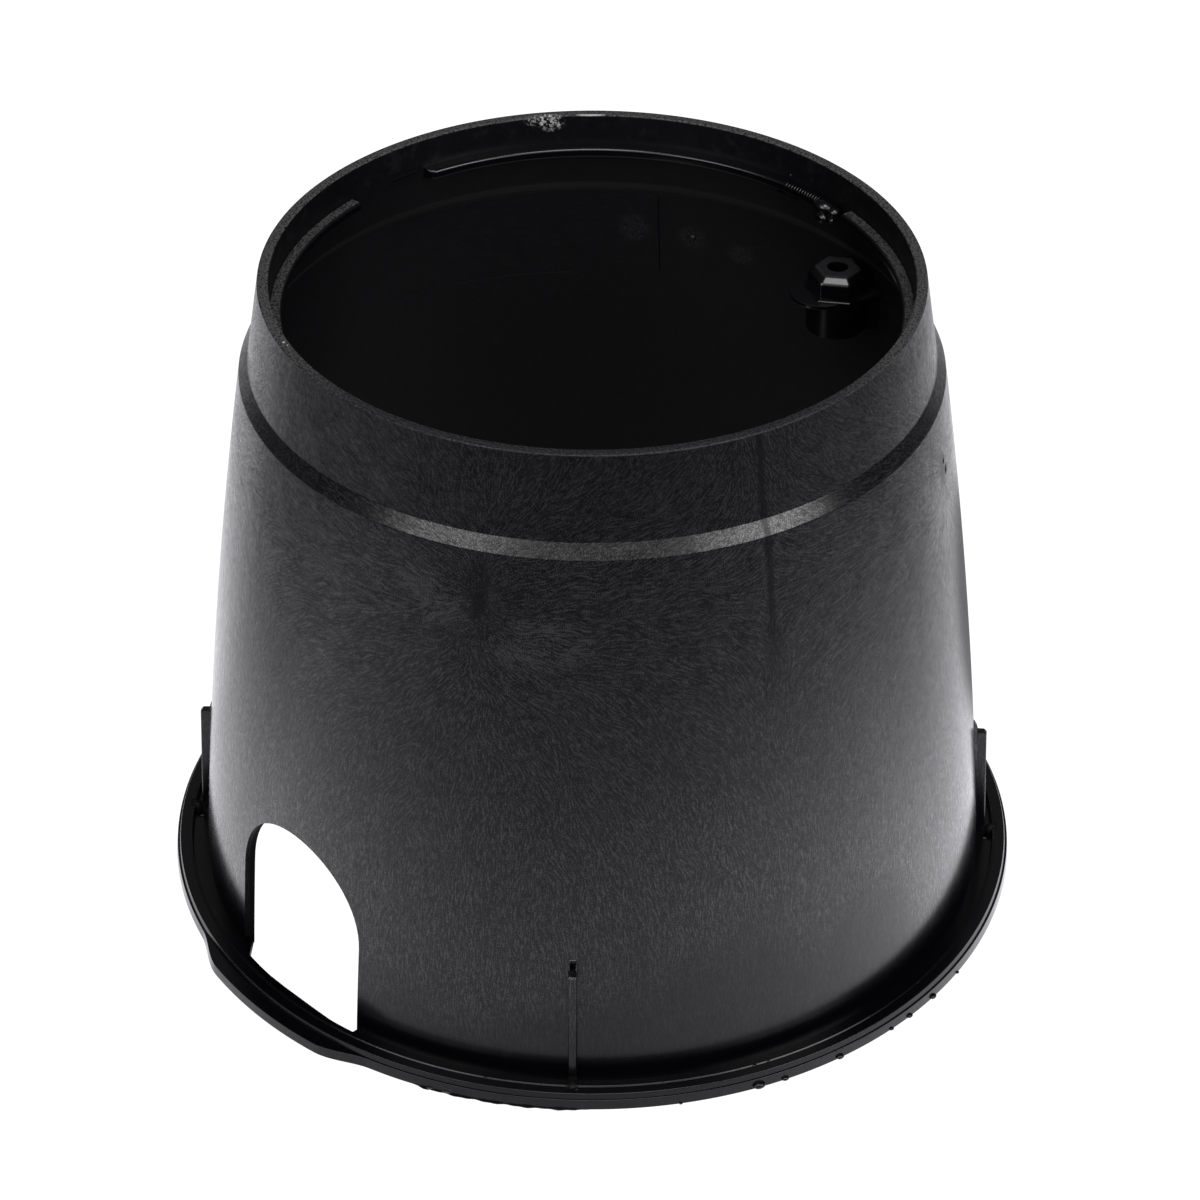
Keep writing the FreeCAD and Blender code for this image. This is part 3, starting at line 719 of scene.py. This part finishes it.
def black_plastic():
    """Black polyethylene with flow marks: fine noise averaged along the melt's flow makes streaks.

    The streaks are paler and glossier than the skin between them. The gloss is a coat's weight.
    """
    material = bpy.data.materials.new("black_plastic")
    material.use_nodes = True
    tree = material.node_tree
    shader = tree.nodes["Principled BSDF"]
    at = on_box(tree)
    zone = moulding_zones(at)
    flow = melt_flow(at)
    outside, grained = zone.outside, zone.grained

    strokes = along_flow(at.place, flow.direction, 1800.0, 0.0007, 4).between(0.44, 0.63)
    bands = along_flow(at.place, flow.direction, 420.0, 0.0035, 3).between(0.35, 0.65)
    mottle = noise(at.place, 90.0, 2.0, 0.6)
    grain = noise(at.place, 1100.0, 2.0, 0.7)
    fine = noise(at.place, 2100.0, 1.0, 0.5)
    ferns, core, knit = flow_marks(at, flow, outside, mottle)

    # The streaks: finer near a gate, stronger high up, fading into a smooth foot
    near = 1.0 - flow.from_gate.between(0.10, 0.50)
    upper = at.z.between(0.13, 0.205)
    smooth_to = spot(at, -18.0, 45.0, 90.0, 120.0) * 0.034
    smooth_to = smooth_to + (noise(at.place, 26.0, 1.0) - 0.5) * 0.05
    streaked = (at.z - smooth_to).between(0.006, 0.045) * 0.75 + 0.25
    streak = strokes * (0.8 - near * 0.35) + (fine - 0.5) * (near * 0.5 + 1.8) - 0.05
    streak = (streak + ferns * strokes * 0.55) * (upper * 0.25 + 1.0)
    streak = streak.clamped() * streaked

    # Pale share of the colour: streaks, grain on the tops with a painted sheen away from the front
    # of the view, marks inside with a painted highlight on the inner step, tops of the boss
    amount = streak * (outside * 0.85 + 0.15) * (1.0 - knit * 0.6) * (1.0 - core * 0.8)
    amount = amount * at.z.between(0.008, 0.03) * (1.0 - at.z.between(0.224, 0.232) * 0.35)
    amount = (amount * (1.0 + ferns * 1.2) + ferns * 0.10).clamped()
    # Painted sheen: the grain on the rim's and the ledge's tops gets paler away from the side that
    # faces the view, standing in for light on those parts
    off_front = (at.angle + math.radians(90.0 - VIEW_TURN)).maths("ABSOLUTE")
    side_sheen = off_front.between(0.6, 1.3) * 0.75 + 0.60
    grain_and_sheen = (grained * side_sheen - zone.ledge_top * 0.35) * grain.between(0.34, 0.64)
    pale = amount * 0.52 + grain_and_sheen + marks_and_step_highlight(at, zone, grain)
    pale = (pale * (1.0 - zone.post) + zone.boss_top * 0.52).clamped() * (1.0 - zone.glossy)
    scuff = scuffs(at, outside)
    colour = mixed(pale, (0.0012, 0.0011, 0.0019, 1), (0.040, 0.0392, 0.0425, 1))
    # Painted sheen: a pale grey is mixed into the grained tops away from the front of the view
    colour = mixed(grain_and_sheen * (side_sheen - 0.6).clamped() * 0.55, colour, (0.10, 0.10, 0.10, 1))
    colour = mixed(scuff, colour, (0.36, 0.36, 0.36, 1))
    tree.links.new(colour.socket, shader.inputs["Base Color"])

    # Gloss: patchy high up, lost on knit lines, gate middles, tops, rib sides, toes and pits
    patches = ((bands - 0.5) * 0.26 + (mottle - 0.5) * 0.8) * (upper * 0.85 + 0.15)
    gloss = 0.40 + (streak - 0.30) * 0.68 + patches
    gloss = gloss * (1.0 - knit * 0.9) * (1.0 - core * 0.8) * (outside * 0.9 + 0.1)
    gloss = gloss * (1.0 - grained) * (1.0 - zone.rib_side * 0.85) * (1.0 - zone.toe)
    gloss = gloss * (1.0 - zone.pits).clamped()
    gloss = (gloss * (1.0 - zone.post) + zone.glossy * 0.60).clamped()
    tree.links.new(gloss.socket, shader.inputs["Coat Weight"])
    shader.inputs["Coat Roughness"].default_value = 0.17
    shader.inputs["Coat IOR"].default_value = 1.5

    dull = (1.0 - outside) * 0.16 * (1.0 - zone.glossy) * (1.0 - zone.post)
    dull = dull + grained * 0.25 + scuff * 0.3 + zone.toe * 0.4
    rough = 0.22 + at.z.between(0.02, 0.11) * 0.08 + dull + (mottle - 0.5) * 0.10
    tree.links.new(rough.socket, shader.inputs["Roughness"])
    relief = fine * outside * 0.04 + grain * (grained * 0.40 + 0.01)
    bump_inputs = {"Strength": 1.0, "Distance": 0.0003, "Height": relief}
    bump = Wire.node(tree, "ShaderNodeBump", None, bump_inputs)
    tree.links.new(bump.socket, shader.inputs["Normal"])
    shader.inputs["IOR"].default_value = 1.32
    return material


def light_pool(at):
    """Light that the floor gives the box, by place: bright round its foot and fainter far out.

    It falls off as 1 / (1 + (distance / 0.37) to the power 2.5). It is weaker in front and at the
    flanks, and dim under the box and in the shade behind the back opening.
    """
    turn = math.radians(VIEW_TURN)
    ahead = at.x * math.sin(turn) - at.y * math.cos(turn)
    to_right = (at.x * math.cos(turn) + at.y * math.sin(turn)) / at.radius
    facing = ahead / at.radius
    front = facing.maths("MAXIMUM", 0.0)
    aside = to_right * (0.18 - at.radius.between(0.35, 0.80) * 0.80 + front * 0.3)
    far_flank = at.radius.between(0.25, 0.50) * (0.10 - to_right * 0.06)
    flank = facing.within(-0.50, -0.24, 0.02, 0.30) * (0.17 - to_right * 0.05 + far_flank)
    near_front = at.radius.within(0.19, 0.26, 0.33, 0.45) * front
    gain = 2.1 - front ** 2.5 * 1.1 + aside
    gain = gain * (at.radius.between(0.15, 0.25) * 0.16 + 0.84) * (1.0 - flank)
    gain = gain * (1.0 + near_front * 0.14)
    pool = at.radius.between(0.148, 0.162) * gain / (1.0 + (at.radius / 0.37) ** 2.5)
    shade = (at.x / 0.10) ** 2.0 + ((at.y - 0.24) / 0.14) ** 2.0
    pool = pool * (shade.between(0.3, 1.0) * 0.88 + 0.12) + 0.045
    pool = pool + (-ahead).between(0.45, 0.90) * 0.30
    return pool + (1.0 - at.radius.between(0.13, 0.15)) * (0.090 - ahead * 0.45)


def light_table():
    """Plain white floor to the eye, which lights the box as a pool of light."""
    reach, level = 4.0, -0.0004
    corners = [(x * reach, y * reach, level) for x, y in ((-1, -1), (1, -1), (1, 1), (-1, 1))]
    mesh = bpy.data.meshes.new("floor")
    mesh.from_pydata(corners, [], [(0, 1, 2, 3)])
    floor = bpy.data.objects.new("floor", mesh)
    bpy.context.scene.collection.objects.link(floor)
    material = bpy.data.materials.new("white_floor")
    material.use_nodes = True
    tree = material.node_tree
    tree.nodes.remove(tree.nodes["Principled BSDF"])
    pool = light_pool(on_box(tree))
    seen = Wire.node(tree, "ShaderNodeLightPath", output="Is Camera Ray")
    colour = mixed(seen, vector(pool, pool * 0.99, pool * 1.03), (1.1, 1.1, 1.1, 1))
    glow = Wire.node(tree, "ShaderNodeEmission", inputs={"Color": colour})
    tree.links.new(glow.socket, tree.nodes["Material Output"].inputs["Surface"])
    mesh.materials.append(material)


def aimed(thing, turn, lift, distance, target):
    """Put a lamp or a camera at a distance from a height on the axis, facing it."""
    turn, lift = math.radians(turn), math.radians(lift)
    level = math.cos(lift)
    out = np.array([math.sin(turn) * level, -math.cos(turn) * level, math.sin(lift)])
    thing.location = np.array([0, 0, target]) + out * distance
    thing.rotation_euler = (QUARTER - lift, 0, turn)
    bpy.context.scene.collection.objects.link(thing)


def soft_box(name, azimuth, elevation, distance, width, height, brightness):
    """Rectangular lamp that faces the box, at an azimuth from the photograph's view."""
    data = bpy.data.lights.new(name, "AREA")
    data.shape = "RECTANGLE"
    data.size, data.size_y = width, height
    data.energy = brightness * math.pi * width * height
    aimed(bpy.data.objects.new(name, data), VIEW_TURN + azimuth, elevation, distance, 0.2)


def studio():
    """Dim surroundings, a wide fill, a soft box with a scrim on each side, a key, a back fill."""
    scene = bpy.context.scene
    scene.view_settings.view_transform = "Standard"
    scene.world = bpy.data.worlds.new("surroundings")
    scene.world.use_nodes = True
    sky = scene.world.node_tree.nodes["Background"]
    sky.inputs["Color"].default_value = (1, 1, 1, 1)
    sky.inputs["Strength"].default_value = 0.058
    soft_box("fill", 0, 32, 2.6, 3.2, 1.3, 0.80)
    soft_box("left_box", -44, 30, 2.0, 0.8, 1.0, 2.0)
    soft_box("left_scrim", -44, 30, 2.05, 1.4, 1.05, 1.7)
    soft_box("right_box", 54, 30, 2.0, 0.8, 1.0, 3.0)
    soft_box("right_scrim", 54, 30, 2.05, 1.4, 1.05, 2.7)
    soft_box("key", 6, 60, 2.2, 1.3, 0.9, 6.5)
    soft_box("back_fill", 180, 45, 2.6, 2.4, 1.4, 0.12)


def camera():
    """The photograph's view: 35.5 degrees down, from between the front opening and +X."""
    data = bpy.data.cameras.new("camera")
    data.sensor_width = 36.0
    data.lens = 118.5
    data.shift_x = 0.0064
    data.clip_start, data.clip_end = 0.05, 50.0
    eye = bpy.data.objects.new("camera", data)
    aimed(eye, VIEW_TURN, 35.536, 1.5293, 0.11214)
    bpy.context.scene.camera = eye


body = build_body()
body.data.materials.clear()
body.data.materials.append(black_plastic())
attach(body, "root")
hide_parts("valve_box_body")
light_table()
studio()
camera()
